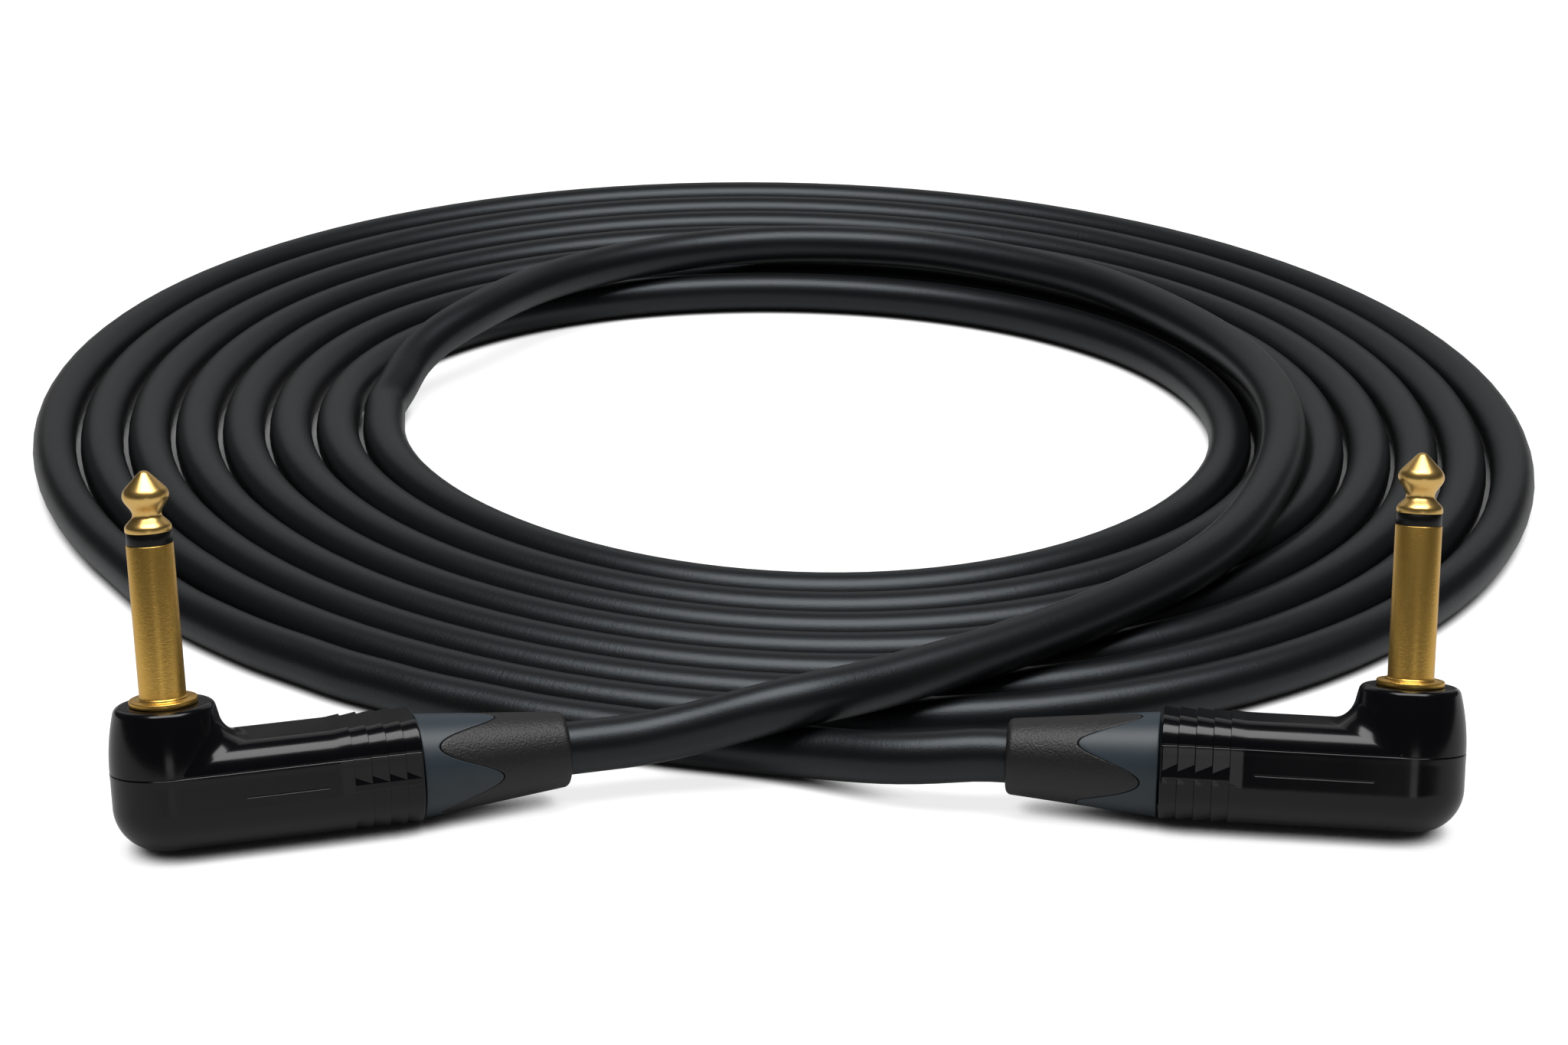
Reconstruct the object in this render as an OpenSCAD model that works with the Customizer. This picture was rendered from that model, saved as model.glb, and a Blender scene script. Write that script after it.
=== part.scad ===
// Right-angle instrument cable: two 1/4 inch phone plugs joined by one coiled cable.
// Each plug stands on its connector's turret, and the cable leaves the connector level.
// A connector is drawn with the cable along +X, the plug along +Z and both axes through 0.

/* [Cable] */
// Diameter of the cable's jacket
cable_d = 7.5; // [6:0.1:7.6]
// Diameter of the insulation on the centre conductor
core_d = 3; // [2:0.1:3.2]
// Diameter of the bare centre conductor
wire_d = 1.1; // [0.6:0.1:1.6]
// Diameter of the twisted shield tail
braid_d = 1.4; // [0.8:0.1:1.6]
// Straight cable that stays in view behind the boot
cable_tail = 8; // [6:0.5:12]

/* [Coil] */
// Turns of the coil, wound inwards
coil_turns = 7; // [3:1:7]
// Mean gap between turns at the coil's left and right
side_gap = 0.87; // [0.7:0.01:1.2]
// Mean gap between turns at the coil's front and back
end_gap = 2.29; // [2.2:0.01:3]

/* [Plug] */
// Diameter of the plug's sleeve
plug_d = 6.35; // [6.2:0.01:6.4]
// Length of the plug from its flange to its nose
plug_len = 31.2; // [30:0.1:34]
// Height of the black ring between sleeve and tip
ring_h = 1.7; // [1.2:0.1:2]
// Length of the tip above the black ring
tip_len = 8.2; // [7.5:0.1:9]
// Height of the tip's straight foot
tip_foot = 0.5; // [0.3:0.1:0.9]
// Diameter of the groove that a jack's spring drops into
neck_d = 3.9; // [3.4:0.1:4.4]
// Height of that groove above the tip's foot
neck_h = 2.3; // [1.8:0.1:2.6]
// Widest diameter of the tip
tip_d = 6.27; // [6:0.01:6.3]
// Height of the widest ring above the tip's foot
head_h = 4.8; // [4.4:0.1:5.4]
// Rounding of the tip's shoulder
shoulder_r = 1.6; // [0.8:0.1:2]
// Radius of the ball at the nose
nose_r = 1.1; // [0.6:0.1:1.4]
// Diameter of the rod that carries the tip
rod_d = 2.4; // [2:0.1:2.6]
// Diameter of the flange on the turret
flange_d = 9.3; // [8.6:0.1:10]
// Thickness of that flange
flange_t = 0.8; // [0.5:0.1:1.5]
// Diameter of the sleeve's rear neck, inside the turret
rear_d = 8; // [7:0.1:8.4]
// Diameter of the hole along the sleeve
sleeve_bore = 4.4; // [3.8:0.1:4.8]

/* [Shell] */
// Width of the shell
shell_w = 16; // [15.5:0.1:18]
// Height of the body's flat top above the cable's axis
crown_h = 7.4; // [7.2:0.1:8]
// Depth of the belly below the cable's axis
belly_h = 7.2; // [6.8:0.1:8]
// Radius of the body's upper corners
crown_round = 4; // [3:0.1:4.5]
// Radius of the belly's corners
belly_round = 6.2; // [4:0.1:7]
// Height of the seam between the two shells
seam_h = 4; // [3:0.1:4.5]
// Height of the turret's top
turret_h = 12.8; // [12:0.1:16]
// How far the turret's wall leans in at its top
turret_draw = 1.4; // [0.8:0.1:1.8]
// Rounding of the turret's rim
rim_round = 1; // [0.4:0.1:1.4]
// Radius of the hollow blend between turret and body
blend_r = 4; // [2:0.1:4.5]
// Length from the plug's axis to the shell's end
shell_len = 33.5; // [32:0.5:40]
// Thickness of the turret's top wall
top_wall = 2; // [1.4:0.1:2.4]
// Diameter of the solder chamber under the plug
chamber_d = 10.4; // [10.2:0.1:11]

/* [Ribs] */
// Stepped ribs round the shell's end
rib_n = 4; // [2:1:5]
// Length of each rib
rib_w = 2.37; // [2:0.01:2.6]
// How far each rib flares
rib_rise = 0.3; // [0.1:0.05:0.5]
// Width of the flat band that crosses the ribs
band_w = 0.8; // [0.4:0.1:1.6]
// Length of the engraved line on the left side, seen from the ribs
line_left = 16.2; // [10:0.1:17]
// Length of the engraved line on the right side
line_right = 11.5; // [10:0.1:17]
// Depth of those lines
line_deep = 0.15; // [0.1:0.05:0.3]

/* [Gland] */
// Diameter of the collar where it meets the shell
collar_d = 14.6; // [14:0.1:15]
// Length of collar and boot outside the shell
boot_len = 21; // [19:0.5:28]
// Diameter of the boot behind its rounded mouth
mouth_d = 10.6; // [10.2:0.1:12]
// Rounding of the boot's mouth
mouth_round = 0.9; // [0.4:0.1:1.2]
// Fingers of the collar, laid over the boot
finger_n = 4; // [3:1:6]
// Length of the collar at a finger's tip
finger_len = 11; // [8:0.5:13]
// Length of the collar between two fingers
valley_len = 2.4; // [2:0.1:4]
// Thickness of the fingers
finger_t = 0.9; // [0.6:0.1:1.1]
// Diameter of the collar's threaded spigot, inside the shell
spigot_d = 12; // [11.6:0.1:12.4]
// Length of that spigot
spigot_len = 8.5; // [7:0.5:10]
// Pitch of the gland's thread
pitch = 1.25; // [0.75:0.25:1.5]
// Diameter of the chuck that grips the jacket
chuck_d = 10.7; // [10.2:0.1:11]
// Diameter of the chuck's slotted nose
chuck_nose = 9.2; // [8.8:0.1:9.4]
// Slots that split the chuck into jaws
jaw_n = 4; // [3:1:6]

/* [Clearance] */
// Radial clearance of parts that turn or slide in each other
run_gap = 0.06; // [0.02:0.01:0.1]
// Gap between seated or facing parts
seat_gap = 0.05; // [0.02:0.01:0.1]
// Gap between shell and collar, and round the cable in the boot
ease = 0.25; // [0.2:0.05:0.4]

/* [Placement] */
// Distance between the two plugs' feet, left to right
spread = 168.6; // [160:0.1:175]
// Left plug's foot, in front of the middle line
left_fore = 6.3; // [5:0.1:8]
// Right plug's foot, in front of the middle line
right_fore = 1.1; // [0:0.1:3]
// Angle by which the left cable end points backwards
left_turn = 16; // [14:0.5:18]
// Angle by which the right cable end points backwards
right_turn = 7.5; // [6:0.5:9]
// Lean of the left plug
left_lean = 11; // [0:0.5:20]
// Lean of the right plug
right_lean = 16; // [0:0.5:20]
// Turn of the left collar's fingers
left_phase = 13; // [0:1:90]
// Turn of the right collar's fingers
right_phase = 31; // [0:1:90]

/* [Hidden] */
$fn = 64;

// Shell, seen from the front: half width and the centres of its corner arcs
half_w = shell_w / 2;
crown_z = crown_h - crown_round;
belly_z = belly_round - belly_h;
// The turret's wall is an arc that stands upright at the seam
wall_z = turret_h - rim_round;
wall_arc = (pow(wall_z - seam_h, 2) + pow(turret_draw, 2)) / (2 * turret_draw);
wall_x = half_w - wall_arc;
rim_x = wall_x + sqrt(pow(wall_arc - rim_round, 2) - pow(wall_z - seam_h, 2));
// Ribs end with the shell
rib_x = shell_len - rib_n * rib_w;
run_in = rib_w;
half_rise = rib_rise / 2;
rib_edge = 0.3;
rib_lift = half_rise - seat_gap;
rib_root = run_in / 4;
band_z = -0.05;
band_slope = 1;
band_root = 1;
// The engraved lines end together, before the ribs
line_w = 0.3;
line_z = 0.4;
line_x = rib_x - 3.3;
// Steps and overlaps of the blend's skin
blend_turns = 12;
blend_arcs = 6;
blend_root = 1.55;
blend_over = 0.03;
blend_reach = 76;
// Inside the turret, from its top wall downwards
nut_t = 0.9;
lug_t = 0.6;
rivet_h = 0.8;
ceil_z = turret_h - top_wall;
nut_z = ceil_z - nut_t;
ground_z = nut_z - lug_t;
rear_z = ground_z - rivet_h;
collar_h = 0.8;
tip_lug_z = rear_z - collar_h - lug_t;
rod_z = tip_lug_z - 0.4;
floor_z = -5;
// The ground lug's leg runs down beside the neck, and its foot carries the braid
leg_w = 2.4;
leg_y = rear_d / 2 + 2 * seat_gap;
braid_y = -(core_d + cable_d) / 4;
foot_z = -braid_d / 2 - lug_t;
solder_x = 3.6;
// Along the cable: stripped end, chuck, spigot, collar and boot
strip_x = 13;
gland_x = shell_len + ease;
spigot_x = gland_x - spigot_len;
chuck_x = strip_x + 1;
shoulder_x = spigot_x - ease;
nose_len = 4;
slot_w = 0.8;
bore_r = chuck_d / 2 + run_gap;
thread_r = spigot_d / 2 + run_gap;
boot_x = gland_x + valley_len + 2 * seat_gap;
mouth_x = gland_x + boot_len;
tail_x = mouth_x + cable_tail;
// The gland backs out by four threads before it leaves the shell
travel = 4 * pitch;
echo("gland travel, mm", travel);

// Routes of the free cable, by hand, in plan and height
coil_w = 264.8;
coil_deep = 288.8;
coil_x = [-0.83, 0.2];
coil_y = [164.85, -1.7];
coil_skew = [10.15, -0.85];
coil_bulge_x = [0.34, 0.42];
coil_bulge_y = [1.2, -0.07];
coil_in = 0.1;
rings_per_turn = 24;
lead_route = [[15, 8, 6.65], [8, 11.1, 5.25], [2, 14.3, 4.2], [-4, 16.6, 3.8],
              [-10, 18.2, 3.75], [-15, 19.6, 3.75], [-21, 21.6, 3.75], [-28, 23.4, 3.75],
              [-37, 26.9, 3.75], [-46, 31.4, 3.75], [-53.5, 35.2, 3.75], [-60.2, 39.4, 3.75],
              [-67, 43.7, 3.75], [-73, 48.4, 3.75], [-80, 53.9, 3.75], [-86.5, 59.9, 3.75],
              [-95, 68.9, 3.75]];
over_route = [[-72.6, 172.4, 5.2], [-71.2, 179.4, 6.8], [-67.5, 187.9, 9.2],
              [-60.5, 197.9, 11.3], [-49.5, 215.7, 11.8], [-35, 230.4, 11.8],
              [-20.4, 239.1, 11.8], [-5, 243.6, 11.8], [11, 243.7, 11.8], [26.5, 240.2, 11.8],
              [42, 231.9, 11.8], [57, 219.9, 11.8], [72, 197.8, 11.8], [83, 170.2, 11.8],
              [86.2, 146.7, 11.8], [83.5, 119.8, 11.8], [76, 93.8, 11.8], [67, 74, 11.8],
              [54.2, 56.8, 11.8], [41, 43.4, 11.8], [28.6, 33, 11.8], [19.7, 26.6, 11.8],
              [9.8, 20.2, 11.8], [0.2, 15.2, 11.8], [-4.5, 13.9, 11.1], [-12, 13.1, 9.25],
              [-19.5, 12.1, 7.85]];

// Height of the cable's axis when the leaning ribs rest on the floor
function axis_h(lean) = belly_round + half_rise + (half_w - belly_round) * sin(lean)
    - (belly_z + rib_lift) * cos(lean);
function foot(side) = side < 0 ? [-spread / 2, -left_fore, axis_h(left_lean)]
                               : [spread / 2, -right_fore, axis_h(right_lean)];
function heading(side) = side < 0 ? [cos(left_turn), sin(left_turn), 0]
                                  : [-cos(right_turn), sin(right_turn), 0];
function tail_end(side) = foot(side) + tail_x * heading(side);

// A closed skin over rings of points that run anticlockwise as seen against their order
function unit(v) = v / norm(v);
module skin(rings, closed = false) {
    n = len(rings);
    m = len(rings[0]);
    quads = [for (i = [0 : n - (closed ? 1 : 2)]) for (j = [0 : m - 1])
             [i * m + j, i * m + (j + 1) % m, (i + 1) % n * m + (j + 1) % m, (i + 1) % n * m + j]];
    sides = [for (q = quads) each [[q[0], q[1], q[2]], [q[0], q[2], q[3]]]];
    last = (n - 1) * m;
    caps = closed ? [] : [for (j = [1 : m - 2]) each [[0, j + 1, j], [last, last + j, last + j + 1]]];
    polyhedron([for (r = rings) each r], concat(sides, caps), convexity = 10);
}

// Ring of a round tube about point p, square to direction t, with a point straight down
function tube_ring(p, t, r, sides) =
    let (across = unit(cross([0, 0, 1], t)), up = cross(t, across))
    [for (k = [0 : sides - 1]) let (a = -90 - 360 * k / sides) p + r * (cos(a) * across + sin(a) * up)];
function headings(path, first, last) =
    [for (i = [0 : len(path) - 1]) i == 0 ? first : i == len(path) - 1 ? last
        : unit(path[i + 1] - path[i - 1])];
module tube(path, first, last, sides) {
    t = headings(path, first, last);
    skin([for (i = [0 : len(path) - 1]) tube_ring(path[i], t[i], cable_d / 2, sides)]);
}

// Centre of the coil's cable after u turns: an ellipse that shrinks by one strand a turn
function coil_at(u) =
    let (a = 180 - 360 * u,
         w = coil_w / 2 - (cable_d + side_gap) * u,
         d = coil_deep / 2 - (cable_d + end_gap) * u)
    [coil_x[0] + coil_x[1] * u + w * cos(a) + (coil_bulge_x[0] + coil_bulge_x[1] * u) * sin(2 * a),
     coil_y[0] + coil_y[1] * u + d * sin(a) - (coil_skew[0] + coil_skew[1] * u) * cos(a)
         + (coil_bulge_y[0] + coil_bulge_y[1] * u) * sin(2 * a),
     cable_d / 2];
steps = round((coil_turns + coil_in) * rings_per_turn);
wound = [for (i = [0 : steps]) coil_at(-coil_in + i * (coil_turns + coil_in) / steps)];
start_t = unit(wound[1] - wound[0]);
end_t = unit(wound[steps] - wound[steps - 1]);
coil_start = wound[0] - cable_d * start_t;
coil_end = wound[steps] + cable_d * end_t;
coil_path = concat([coil_start], wound, [coil_end]);
half_turn = rings_per_turn / 2;
coil_gap = min([for (i = [0 : len(coil_path) - 1 - half_turn])
                for (j = [i + half_turn : len(coil_path) - 1]) norm(coil_path[i] - coil_path[j])]) - cable_d;
echo("least gap of the coil to itself, mm", coil_gap);

lead_path = concat([tail_end(1)], lead_route, [coil_start]);
over_path = concat([coil_end], over_route, [tail_end(-1)]);
function path_len(p) = norm([for (i = [1 : len(p) - 1]) sqrt(norm(p[i] - p[i - 1]))])
                     * norm([for (i = [1 : len(p) - 1]) sqrt(norm(p[i] - p[i - 1]))]);
echo("cable length, mm", path_len(coil_path) + path_len(lead_path) + path_len(over_path)
     + 2 * (tail_x - strip_x));

module cable_coil() color([0.09, 0.1, 0.12]) tube(coil_path, start_t, end_t, 6);
module lead_strand() color([0.09, 0.1, 0.12]) tube(lead_path, heading(1), start_t, 10);
module crossing_strand() color([0.09, 0.1, 0.12]) tube(over_path, end_t, -heading(-1), 10);

// Shapes of the shell
function arc(c, r, from, to, n) = [for (i = [0 : n]) let (a = from + (to - from) * i / n) c + r * [cos(a), sin(a)]];
function rounded_half(grow) = concat(
    arc([half_w - belly_round, belly_z], belly_round + grow, -90, 0, 8),
    arc([half_w - crown_round, crown_z], crown_round + grow, 0, 90, 8));
function body_ring(x, grow, lift) = [for (p = concat(rounded_half(grow),
    [for (i = [17 : -1 : 0]) let (q = rounded_half(grow)[i]) [-q[0], q[1]]])) [x, -p[0], p[1] + lift]];

module bowl() rotate_extrude() union() {
    translate([0, -belly_h]) square([half_w - belly_round, belly_h + seam_h]);
    translate([0, belly_z]) square([half_w, seam_h - belly_z]);
    intersection() {
        translate([half_w - belly_round, belly_z]) circle(belly_round);
        translate([0, -belly_h]) square([half_w, belly_h]);
    }
}
module turret() rotate_extrude() polygon(concat([[0, seam_h], [half_w, seam_h]],
    arc([wall_x, seam_h], wall_arc, 2, atan2(wall_z - seam_h, rim_x - wall_x), 8),
    arc([rim_x, wall_z], rim_round, atan2(wall_z - seam_h, rim_x - wall_x) + 15, 90, 4),
    [[0, turret_h]]));
// The belly's sides stand upright up to the seam, so its edge is a little proud of the crown's corners
module belly_outline() union() {
    translate([-half_w, belly_z]) square([shell_w, seam_h - belly_z]);
    translate([belly_round - half_w, -belly_h]) square([shell_w - 2 * belly_round, belly_h]);
    for (s = [-1, 1]) intersection() {
        translate([s * (half_w - belly_round), belly_z]) circle(belly_round);
        translate([-half_w, -belly_h]) square([shell_w, belly_h]);
    }
}
module crown_outline() intersection() {
    union() {
        translate([crown_round - half_w, 0]) square([shell_w - 2 * crown_round, crown_h]);
        for (s = [-1, 1]) translate([s * (half_w - crown_round), crown_z]) circle(crown_round);
    }
    translate([-half_w, seam_h]) square([shell_w, crown_h]);
}
module along_x(from, to) translate([from, 0, 0]) rotate([90, 0, 90]) linear_extrude(to - from) children();

// The blend: a ball of blend_r rolls along the corner between turret and body
function ball_r(z) = wall_x + sqrt(pow(wall_arc + blend_r, 2) - pow(z - seam_h, 2));
function over_body(y) = y <= half_w - crown_round ? crown_h + blend_r
    : crown_z + sqrt(max(0, pow(crown_round + blend_r, 2) - pow(y - half_w + crown_round, 2)));
function settle(s, z, n) = n == 0 ? z : settle(s, (z + over_body(ball_r(z) * s)) / 2, n - 1);
function blend_ring(turn) =
    let (s = sin(turn), z = settle(abs(s), crown_h + blend_r, 30), r = ball_r(z),
         ball = [r * cos(turn), r * s, z],
         to_wall = -[cos(turn) * (r - wall_x), s * (r - wall_x), z - seam_h] / (wall_arc + blend_r),
         y = abs(r * s) - half_w + crown_round,
         to_body = y <= 0 ? [0, 0, -1]
             : -[0, sign(s) * y, z - crown_z] / (crown_round + blend_r),
         open = acos(to_wall * to_body))
    concat([ball + blend_root * blend_r * unit(to_wall + to_body)],
           [for (k = [0 : blend_arcs]) let (f = k / blend_arcs,
               v = (sin(open * (1 - f)) * to_body + sin(open * f) * to_wall) / sin(open))
               ball + (blend_r + (f == 0 || f == 1 ? blend_over : 0)) * v]);
module blend() skin([for (i = [-blend_turns : blend_turns]) blend_ring(blend_reach * i / blend_turns)]);

// Each rib starts below the body's skin and flares to stand over it
module rib_zone() skin(concat(
    [body_ring(rib_x - run_in, -seat_gap, 0)],
    [for (i = [0 : rib_n]) each [
        body_ring(rib_x + i * rib_w - (i == rib_n ? rib_edge : 0), half_rise, rib_lift),
        body_ring(rib_x + i * rib_w, i == rib_n ? half_rise - rib_edge : -half_rise, rib_lift)]]));
module band() for (s = [-1, 1]) along_x(rib_x - seat_gap, shell_len - rib_edge) polygon([
    for (p = [[-band_root, -band_w / 2 - band_slope], [-half_rise, -band_w / 2 - band_slope],
              [half_rise, -band_w / 2], [half_rise, band_w / 2],
              [-half_rise, band_w / 2 + band_slope], [-band_root, band_w / 2 + band_slope]])
    [s * (half_w + p[0]), band_z + p[1]]]);
module inner_space() {
    translate([0, 0, floor_z]) cylinder(d = chamber_d, h = ceil_z - floor_z);
    rotate([0, 90, 0]) cylinder(r = bore_r, h = spigot_x);
    translate([spigot_x - ease, 0, 0]) rotate([0, 90, 0]) cylinder(r = thread_r, h = spigot_len + 2);
    cylinder(d = rear_d + 2 * seat_gap, h = turret_h + 1);
}

module upper_shell() color([0.05, 0.05, 0.07]) difference() {
    union() {
        turret();
        along_x(0, rib_x - rib_root) crown_outline();
        intersection() {
            union() {
                blend();
                rib_zone();
            }
            translate([-shell_len, -shell_w, seam_h]) cube([2 * shell_len, 2 * shell_w, 2 * turret_h]);
        }
    }
    inner_space();
}
module lower_shell() color([0.05, 0.05, 0.07]) difference() {
    union() {
        bowl();
        along_x(0, rib_x - rib_root) belly_outline();
        intersection() {
            rib_zone();
            translate([0, -shell_w, seam_h - 2 * shell_w]) cube([shell_len, 2 * shell_w, 2 * shell_w]);
        }
        band();
    }
    inner_space();
    for (s = [-1, 1]) let (len = s < 0 ? line_right : line_left)
        translate([line_x - len, s * half_w - line_deep, line_z - line_w / 2])
            cube([len, 2 * line_deep, line_w]);
}

// The plug, upwards from the turret's top
module plug_sleeve() color([0.78, 0.6, 0.28]) difference() {
    union() {
        translate([0, 0, rear_z]) cylinder(d = rear_d, h = turret_h - rear_z);
        translate([0, 0, turret_h]) cylinder(d = flange_d, h = flange_t);
        translate([0, 0, turret_h]) cylinder(d = plug_d, h = sleeve_z - turret_h);
    }
    translate([0, 0, rear_z - 1]) cylinder(d = sleeve_bore, h = plug_len + turret_h);
}
nose_z = turret_h + flange_t + plug_len;
tip_z = nose_z - tip_len;
sleeve_z = tip_z - ring_h;
shoulder = [tip_d / 2 - shoulder_r, head_h];
nose = [0, tip_len - nose_r];
// The cone between shoulder and nose touches both of their arcs
cone_turn = atan2(nose[1] - shoulder[1], nose[0] - shoulder[0])
    - acos((shoulder_r - nose_r) / norm(nose - shoulder));
module plug_tip() color([0.83, 0.66, 0.36]) union() {
    translate([0, 0, tip_z]) rotate_extrude() polygon(concat(
        [[0, 0], [plug_d / 2, 0]],
        [for (k = [0 : 6]) [neck_d / 2 + (plug_d - neck_d) / 2 * pow(cos(15 * k), 2),
                            tip_foot + (neck_h - tip_foot) * k / 6]],
        [for (k = [1 : 5]) [neck_d / 2 + (tip_d - neck_d) / 2 * pow(sin(15 * k), 2),
                            neck_h + (head_h - neck_h) * k / 6]],
        arc(shoulder, shoulder_r, 0, cone_turn, 5),
        arc(nose, nose_r, cone_turn, 90, 5)));
    translate([0, 0, rod_z]) cylinder(d = rod_d, h = tip_z + tip_foot - rod_z);
}
module ring_insulator() color([0.07, 0.07, 0.07]) translate([0, 0, sleeve_z]) difference() {
    cylinder(d = plug_d, h = ring_h);
    translate([0, 0, -1]) cylinder(d = rod_d + 2 * seat_gap, h = ring_h + 2);
}
module rod_insulator() color([0.85, 0.85, 0.8]) difference() {
    union() {
        translate([0, 0, rear_z]) cylinder(d = sleeve_bore - 2 * seat_gap, h = sleeve_z - rear_z);
        translate([0, 0, rear_z - collar_h]) cylinder(d = rear_d - 1, h = collar_h);
    }
    translate([0, 0, rod_z]) cylinder(d = rod_d + 2 * seat_gap, h = plug_len + turret_h);
}
module lock_nut() color([0.75, 0.72, 0.65]) translate([0, 0, nut_z]) difference() {
    cylinder(d = chamber_d - 0.4, h = nut_t);
    translate([0, 0, -1]) cylinder(d = rear_d + 2 * seat_gap, h = nut_t + 2);
}
module ground_lug() color([0.78, 0.74, 0.6]) union() {
    translate([0, 0, ground_z]) difference() {
        cylinder(d = chamber_d - 0.4, h = lug_t);
        translate([0, 0, -1]) cylinder(d = rear_d + 2 * seat_gap, h = lug_t + 2);
    }
    translate([-leg_w / 2, -leg_y - lug_t, foot_z]) cube([leg_w, lug_t, ground_z + lug_t - foot_z]);
    translate([-leg_w / 2, -leg_y - lug_t, foot_z]) cube([leg_w, leg_y + lug_t + braid_y + braid_d / 2, lug_t]);
}
module tip_lug() color([0.78, 0.74, 0.6]) translate([0, 0, tip_lug_z]) difference() {
    union() {
        cylinder(d = rod_d + 2, h = lug_t);
        translate([0, -wire_d, 0]) cube([solder_x + wire_d, 2 * wire_d, lug_t]);
    }
    translate([0, 0, -1]) cylinder(d = rod_d + 2 * seat_gap, h = lug_t + 2);
}

// The cable's prepared end
module core() color([0.8, 0.3, 0.2]) union() {
    translate([solder_x + 2, 0, 0]) rotate([0, 90, 0]) cylinder(d = core_d, h = strip_x - solder_x - 2);
    translate([solder_x, 0, 0]) rotate([0, 90, 0]) cylinder(d = wire_d, h = 3);
    translate([solder_x, 0, 0]) sphere(d = wire_d);
    translate([solder_x, 0, 0]) cylinder(d = wire_d, h = tip_lug_z);
}
module shield_tail() color([0.7, 0.5, 0.3])
    translate([-leg_w / 2, braid_y, 0]) rotate([0, 90, 0]) cylinder(d = braid_d, h = strip_x + leg_w / 2);
module jacket_end() color([0.09, 0.1, 0.12])
    translate([strip_x, 0, 0]) rotate([0, 90, 0]) cylinder(d = cable_d, h = tail_x - strip_x);

// Chuck, collar and boot
module chuck() color([0.12, 0.12, 0.13]) difference() {
    union() {
        translate([chuck_x, 0, 0]) rotate([0, 90, 0]) cylinder(r = bore_r - run_gap, h = shoulder_x - chuck_x);
        translate([chuck_x, 0, 0]) rotate([0, 90, 0]) cylinder(d = chuck_nose, h = shoulder_x + nose_len - chuck_x);
    }
    translate([chuck_x - 1, 0, 0]) rotate([0, 90, 0]) cylinder(r = cable_d / 2 + run_gap, h = spigot_len + shell_len);
    for (k = [0 : jaw_n - 1]) rotate([360 * (k + 0.5) / jaw_n, 0, 0])
        translate([shoulder_x - nose_len, 0, -slot_w / 2]) cube([3 * nose_len, chuck_d, slot_w]);
}
function cone_r(x) = collar_d / 2 - (collar_d - mouth_d) / 2 * (x - gland_x) / boot_len;
function edge_x(a) = gland_x + valley_len + (finger_len - valley_len) * (1 + cos(finger_n * a)) / 2;
// Ring of fingers from x, widened by gap all round and over
function finger_ring(from, gap, over) = [for (i = [0 : 71]) let (a = 5 * i, x = edge_x(a) + gap)
    [for (p = [[from, cone_r(from) + over], [x, cone_r(x) + over], [x, cone_r(x) - finger_t - gap],
               [from, cone_r(from) - finger_t - gap]]) [p[0], p[1] * cos(a), p[1] * sin(a)]]];
module collar(phase) color([0.24, 0.29, 0.33]) rotate([phase, 0, 0]) difference() {
    union() {
        translate([spigot_x, 0, 0]) rotate([0, 90, 0]) cylinder(d = spigot_d, h = spigot_len + 1);
        translate([gland_x, 0, 0]) rotate([0, 90, 0])
            cylinder(r = cone_r(boot_x) - finger_t / 2, h = valley_len);
        skin(finger_ring(gland_x, 0, 0), closed = true);
    }
    translate([spigot_x - 1, 0, 0]) rotate([0, 90, 0])
        cylinder(r = chuck_nose / 2 + run_gap, h = spigot_len + valley_len + 3);
}
module boot(phase) color([0.13, 0.12, 0.12]) rotate([phase, 0, 0]) difference() {
    rotate([90, 0, 90]) rotate_extrude() polygon(concat(
        [[cable_d / 2 + ease, boot_x], [cone_r(boot_x) - 2 * seat_gap, boot_x]],
        arc([cone_r(mouth_x - mouth_round) - mouth_round - 2 * seat_gap, mouth_x - mouth_round],
            mouth_round, 5, 90, 5),
        [[cable_d / 2 + ease, mouth_x]]));
    skin(finger_ring(boot_x - 1, seat_gap, 1), closed = true);
}

module on_left() translate(foot(-1)) rotate([0, 0, left_turn]) rotate([-left_lean, 0, 0]) children();
module on_right() translate(foot(1)) rotate([0, 0, 180 - right_turn]) rotate([right_lean, 0, 0]) children();

on_left() plug_tip();  // left_plug_tip
on_left() ring_insulator();  // left_ring_insulator
on_left() rod_insulator();  // left_rod_insulator
on_left() plug_sleeve();  // left_plug_sleeve
on_left() lock_nut();  // left_lock_nut
on_left() ground_lug();  // left_ground_lug
on_left() tip_lug();  // left_tip_lug
on_left() upper_shell();  // left_upper_shell
on_left() lower_shell();  // left_lower_shell
on_left() chuck();  // left_chuck
on_left() collar(left_phase);  // left_collar
on_left() boot(left_phase);  // left_boot
on_left() jacket_end();  // left_jacket_end
on_left() core();  // left_core
on_left() shield_tail();  // left_shield_tail
on_right() plug_tip();  // right_plug_tip
on_right() ring_insulator();  // right_ring_insulator
on_right() rod_insulator();  // right_rod_insulator
on_right() plug_sleeve();  // right_plug_sleeve
on_right() lock_nut();  // right_lock_nut
on_right() ground_lug();  // right_ground_lug
on_right() tip_lug();  // right_tip_lug
on_right() upper_shell();  // right_upper_shell
on_right() lower_shell();  // right_lower_shell
on_right() chuck();  // right_chuck
on_right() collar(right_phase);  // right_collar
on_right() boot(right_phase);  // right_boot
on_right() jacket_end();  // right_jacket_end
on_right() core();  // right_core
on_right() shield_tail();  // right_shield_tail
lead_strand();
cable_coil();
crossing_strand();
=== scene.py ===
import math

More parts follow.
